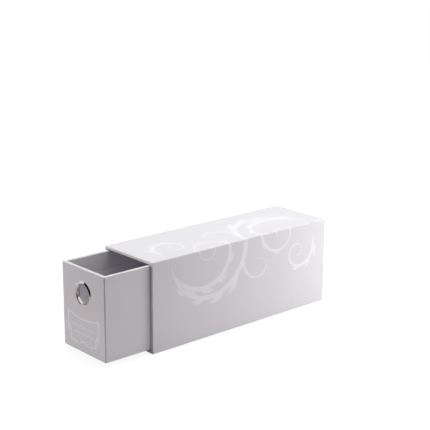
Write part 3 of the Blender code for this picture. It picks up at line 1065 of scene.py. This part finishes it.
def seen_directly(tree):
    """1 for rays from the camera, off glossy surfaces or through glass, and 0 for the rest."""
    camera_ray = add_node(tree, "ShaderNodeLightPath", None, None, "Is Camera Ray")
    glossy_ray = add_node(tree, "ShaderNodeLightPath", None, None, "Is Glossy Ray")
    clear_ray = add_node(tree, "ShaderNodeLightPath", None, None, "Is Transmission Ray")
    return (camera_ray + glossy_ray + clear_ray).smaller(1.0)


def grey(level):
    """A neutral colour."""
    return (level, level, level, 1.0)


floor_mesh = bpy.data.meshes.new("floor")
floor_ends = ((-1, -1), (1, -1), (1, 1), (-1, 1))
floor_corners = [(x * FLOOR_HALF, y * FLOOR_HALF, -FLOOR_DROP) for x, y in floor_ends]
floor_mesh.from_pydata(floor_corners, [], [(0, 1, 2, 3)])
floor = new_object("floor", floor_mesh)
floor_material = bpy.data.materials.new("white_sweep")
floor_material.use_nodes = True
floor_tree = floor_material.node_tree
floor_tree.nodes.clear()
floor_place = add_node(floor_tree, "ShaderNodeTexCoord", None, None, "Object")
floor_reach = add_node(floor_tree, "ShaderNodeVectorMath", {"operation": "LENGTH"}, {0: floor_place}, "Value")
floor_fade = add_node(
    floor_tree,
    "ShaderNodeMapRange",
    None,
    {"Value": floor_reach, "From Min": FLOOR_FADE_FROM, "From Max": FLOOR_FADE_TO},
)
mirrored = add_node(floor_tree, "ShaderNodeLightPath", None, None, "Is Glossy Ray")
floor_light = floor_fade * (FLOOR_GLOW_FAR - FLOOR_GLOW_NEAR) + FLOOR_GLOW_NEAR
floor_light = floor_light * (1.0 - mirrored * (1.0 - FLOOR_GLOW_MIRRORED))
floor_glow = add_node(floor_tree, "ShaderNodeEmission", None, {"Color": grey(1.0), "Strength": floor_light})
floor_paint = add_node(floor_tree, "ShaderNodeBsdfDiffuse", None, {"Color": grey(FLOOR_SEEN_GREY)})
floor_seen = add_node(floor_tree, "ShaderNodeAddShader", None, {0: floor_glow, 1: floor_paint})
floor_bounce = add_node(floor_tree, "ShaderNodeBsdfDiffuse", None, {"Color": FLOOR_BOUNCE})
floor_mix = add_node(
    floor_tree, "ShaderNodeMixShader", None, {0: seen_directly(floor_tree), 1: floor_bounce, 2: floor_seen}
)
floor_output = floor_tree.nodes.new("ShaderNodeOutputMaterial")
floor_tree.links.new(floor_mix.socket, floor_output.inputs["Surface"])
floor_mesh.materials.append(floor_material)

world = bpy.data.worlds.new("studio")
world.use_nodes = True
bpy.context.scene.world = world
world_tree = world.node_tree
world_light = seen_directly(world_tree) * (1.0 - WORLD_AMBIENT) + WORLD_AMBIENT
plug(world_tree, world_tree.nodes["Background"].inputs["Color"], grey(1.0))
plug(world_tree, world_tree.nodes["Background"].inputs["Strength"], world_light)
print("floor and world ready")

# %% [markdown]
# Five soft boxes light the box. Two hang over it and make the top the brightest face. One stands low on the
# far left and one low behind on the right, so each upright face gets one of them at a grazing angle, and
# the sleeve's side grows lighter towards its back. A weak one on the right softens the shadow that the
# sleeve's mouth throws on the drawer. A corner that points at the camera gets little of them and shows as a
# fine darker line. Shiny surfaces don't mirror the boxes, only the white sweep and the black cloth.

# %% Soft boxes
AIM = Vector((0.0, -0.03, 0.05))
# Each box has a name, a place, a width, a height, its watts and its colour
SOFT_BOXES = (
    ("key_box", (-0.95, 0.85, 1.45), 1.20, 0.90, 2.4, (0.985, 0.995, 1.0)),
    ("top_box", (0.05, 0.10, 1.30), 0.90, 0.90, 14.2, (0.985, 0.995, 1.0)),
    ("right_box", (0.28, 0.42, 0.13), 0.34, 0.24, 1.62, (0.995, 1.0, 0.995)),
    ("side_box", (1.05, 0.22, 0.35), 0.50, 0.50, 1.40, (1.0, 0.988, 0.995)),
    ("left_box", (-1.15, -0.98, 0.27), 0.80, 0.26, 13.6, (1.0, 0.968, 0.975)),
)


def soft_box(name, place, width, height, watts, colour):
    """An area lamp that looks at the middle of the box."""
    lamp = bpy.data.lights.new(name, "AREA")
    lamp.shape = "RECTANGLE"
    lamp.size = width
    lamp.size_y = height
    lamp.energy = watts
    lamp.color = colour
    holder = bpy.data.objects.new(name, lamp)
    place = Vector(place)
    holder.visible_camera = False
    holder.visible_glossy = False
    turn = (AIM - place).to_track_quat("-Z", "Y").to_matrix().to_4x4()
    holder.matrix_world = Matrix.Translation(place) @ turn
    bpy.context.scene.collection.objects.link(holder)


for box in SOFT_BOXES:
    soft_box(*box)

# %% [markdown]
# A large black cloth hangs in front of the box, and its lower end lies on the table, as studios do for
# polished metal. It takes the light away from what faces the camera, so the rounded corners read as fine
# dark lines, and it gives the nickel ring its black reflections. The camera itself doesn't see it.

# %% Black cloth in front
CLOTH_AZIMUTH = math.radians(20)
CLOTH_HALF_WIDTH = 1.8
CLOTH_NEAR = 0.42
CLOTH_AWAY = 1.0
CLOTH_HIGH = 1.8
CLOTH_BLACK = 0.01

cloth_out = Vector((math.sin(CLOTH_AZIMUTH), -math.cos(CLOTH_AZIMUTH), 0.0))
cloth_side = Vector((math.cos(CLOTH_AZIMUTH), math.sin(CLOTH_AZIMUTH), 0.0)) * CLOTH_HALF_WIDTH
cloth_lines = [
    cloth_out * CLOTH_NEAR + Vector((0.0, 0.0, FLOOR_DROP)),
    cloth_out * CLOTH_AWAY + Vector((0.0, 0.0, FLOOR_DROP)),
    cloth_out * CLOTH_AWAY + Vector((0.0, 0.0, CLOTH_HIGH)),
]
cloth_points = [line + cloth_side * side for line in cloth_lines for side in (1, -1)]
cloth_mesh = bpy.data.meshes.new("black_cloth")
cloth_mesh.from_pydata(cloth_points, [], [(0, 1, 3, 2), (2, 3, 5, 4)])
cloth = new_object("black_cloth", cloth_mesh)
cloth_finish = Finish("black_cloth", Base_Color=grey(CLOTH_BLACK), Roughness=1.0, Specular_IOR_Level=0.0)
cloth_mesh.materials.append(cloth_finish.material)
cloth.visible_camera = False
cloth.visible_shadow = False
print("cloth hung", CLOTH_AWAY, "m away")

# %% [markdown]
# The left side of the ring's lip leans away from the cloth, and mirrors the table beside the box. A small
# black card that lies there gives it a black arc too. It is cut as a piece of a fan round the ring, and
# only shiny surfaces see it, so that it takes no light from the box.

# %% Black card on the left
CARD_AZIMUTHS = (math.radians(-52), math.radians(-94))
CARD_NEAR = 0.115
CARD_FAR = 0.240

card_points = []
for reach in (CARD_NEAR, CARD_FAR):
    for azimuth in CARD_AZIMUTHS:
        outward = Vector((math.sin(azimuth), -math.cos(azimuth), 0.0))
        card_points.append(Vector((0.0, ring_low.y, FLOOR_DROP)) + outward * reach)
card_mesh = bpy.data.meshes.new("black_card")
card_mesh.from_pydata(card_points, [], [(0, 2, 3, 1)])
card = new_object("black_card", card_mesh)
card_mesh.materials.append(cloth_finish.material)
card.visible_camera = False
card.visible_diffuse = False
card.visible_shadow = False
print("card lies", CARD_NEAR, "to", CARD_FAR, "m from the ring")

# %% [markdown]
# The picture uses plain colour handling.

# %% Colour handling
bpy.context.scene.view_settings.view_transform = "Standard"
